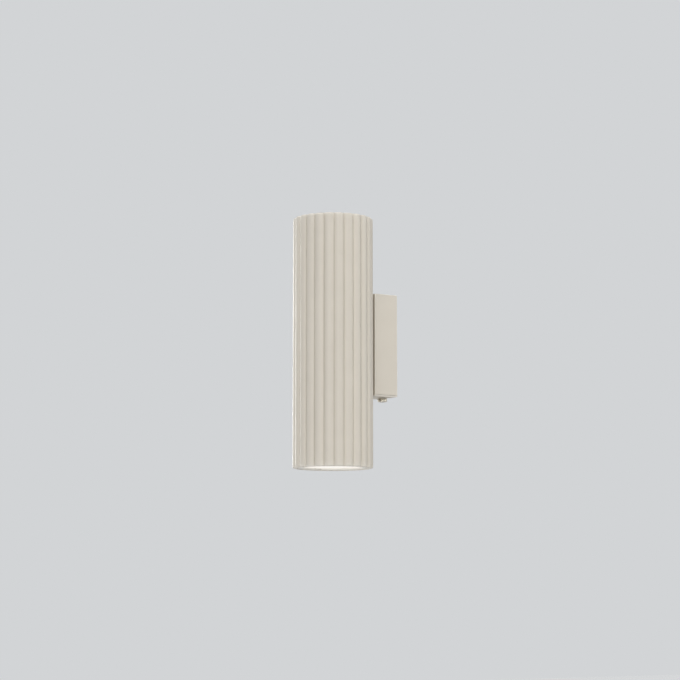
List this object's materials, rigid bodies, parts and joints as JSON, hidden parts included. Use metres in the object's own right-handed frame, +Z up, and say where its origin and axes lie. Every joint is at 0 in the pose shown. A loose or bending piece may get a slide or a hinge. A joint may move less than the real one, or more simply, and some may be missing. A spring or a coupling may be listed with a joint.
{
  "type": "tube wall light",
  "caption": "Reeded cylindrical up-and-down wall light on a slim folded wall box, with screw-in frosted glass at both ends and twist-lock reflector lamps inside.",
  "frame": {"origin": "centre line of the wall plate's back face, on the wall, level with the middle of the tube", "axes": "+Z up along the tube, +Y into the wall, +X to the right for someone who faces the wall"},
  "size_m": [0.0794, 0.1067, 0.25],
  "materials": {
    "body_paint": "fine-textured satin powder coat, warm white",
    "plate_steel": "zinc-plated steel, passivated",
    "rubber": "moulded rubber",
    "earth_steel": "zinc-plated",
    "screw_nickel": "nickel-plated, knurled",
    "nylon": "natural nylon",
    "frame_steel": "bright zinc-plated steel strip",
    "block_plastic": "moulded polyamide",
    "brass": "turned brass",
    "bush_plastic": "moulded nylon",
    "ring_paint": "satin powder coat",
    "lens_glass": "frosted toughened glass",
    "silicone": "translucent white silicone",
    "lamp_housing": "moulded white thermoplastic over aluminium",
    "lamp_lens": "frosted acrylic, lit",
    "ceramic": "unglazed steatite",
    "lead_brown": "brown silicone insulation",
    "lead_blue": "blue silicone insulation",
    "lead_green": "green and yellow silicone insulation"
  },
  "bodies": {
    "wall_mount": {"wall_plate": "plate_steel", "cable_grommet": "rubber", "earth_stud": "earth_steel", "earth_stud_washer": "earth_steel", "earth_stud_nut": "brass", "lug_nut": "earth_steel"},
    "screw_washer": {"cover_screw_washer": "nylon"},
    "cover_screw": {"cover_screw": "screw_nickel"},
    "luminaire": {"bracket_cover": "body_paint", "tube_shell": "body_paint", "lamp_frame": "frame_steel", "tube_screws": "earth_steel", "tube_screw_washers": "earth_steel", "tube_nuts": "earth_steel", "frame_earth_tag": "brass", "frame_earth_screw": "earth_steel", "wire_bush": "bush_plastic", "terminal_block": "block_plastic", "terminal_clamps": "brass", "terminal_screws": "earth_steel", "block_screw": "earth_steel", "upper_lamp_holder": "ceramic", "lower_lamp_holder": "ceramic", "upper_holder_contacts": "brass", "lower_holder_contacts": "brass", "holder_screws": "earth_steel", "holder_nuts": "earth_steel", "upper_live_lead": "lead_brown", "upper_neutral_lead": "lead_blue", "lower_live_lead": "lead_brown", "lower_neutral_lead": "lead_blue", "earth_lead": "lead_green"},
    "upper_seal": {"upper_ring_seal": "rubber"},
    "upper_ring": {"upper_glass_ring": "ring_paint", "upper_glass": "lens_glass", "upper_glass_gasket": "silicone"},
    "upper_lamp": {"upper_lamp_body": "lamp_housing", "upper_lamp_lens": "lamp_lens", "upper_lamp_base": "ceramic", "upper_lamp_pins": "brass"},
    "lower_seal": {"lower_ring_seal": "rubber"},
    "lower_ring": {"lower_glass_ring": "ring_paint", "lower_glass": "lens_glass", "lower_glass_gasket": "silicone"},
    "lower_lamp": {"lower_lamp_body": "lamp_housing", "lower_lamp_lens": "lamp_lens", "lower_lamp_base": "ceramic", "lower_lamp_pins": "brass"}
  },
  "joints": [
    {"name": "luminaire_lift_off", "type": "slide", "parent": "wall_mount", "child": "luminaire", "axis": [0, -1, 0], "range_m": [0, 0.03]},
    {"name": "cover_screw_drop", "type": "slide", "parent": "wall_mount", "child": "screw_washer", "axis": [0, 0, -1], "range_m": [0, 0.0014]},
    {"name": "cover_screw_turn", "type": "hinge", "parent": "screw_washer", "child": "cover_screw", "pos_m": [0, -0.0084, -0.0545], "axis": [0, 0, -1], "range_deg": [0, 735]},
    {"name": "upper_ring_rise", "type": "slide", "parent": "luminaire", "child": "upper_seal", "axis": [0, 0, 1], "range_m": [0, 0.00451]},
    {"name": "upper_ring_turn", "type": "hinge", "parent": "upper_seal", "child": "upper_ring", "pos_m": [0, -0.067, 0.12], "axis": [0, 0, 1], "range_deg": [0, 1080]},
    {"name": "upper_lamp_twist", "type": "hinge", "parent": "luminaire", "child": "upper_lamp", "pos_m": [0, -0.067, 0.06], "axis": [0, 0, 1], "range_deg": [0, 18]},
    {"name": "lower_ring_rise", "type": "slide", "parent": "luminaire", "child": "lower_seal", "axis": [0, 0, -1], "range_m": [0, 0.00451]},
    {"name": "lower_ring_turn", "type": "hinge", "parent": "lower_seal", "child": "lower_ring", "pos_m": [0, -0.067, -0.12], "axis": [0, 0, -1], "range_deg": [0, 1080]},
    {"name": "lower_lamp_twist", "type": "hinge", "parent": "luminaire", "child": "lower_lamp", "pos_m": [0, -0.067, -0.06], "axis": [0, 0, -1], "range_deg": [0, 18]}
  ],
  "couplings": [
    {"joint": "cover_screw_turn", "follows": "cover_screw_drop", "rad_per_m": 8976},
    {"joint": "upper_ring_rise", "follows": "upper_ring_turn", "m_per_rad": 0.00023873},
    {"joint": "lower_ring_rise", "follows": "lower_ring_turn", "m_per_rad": 0.00023873}
  ]
}
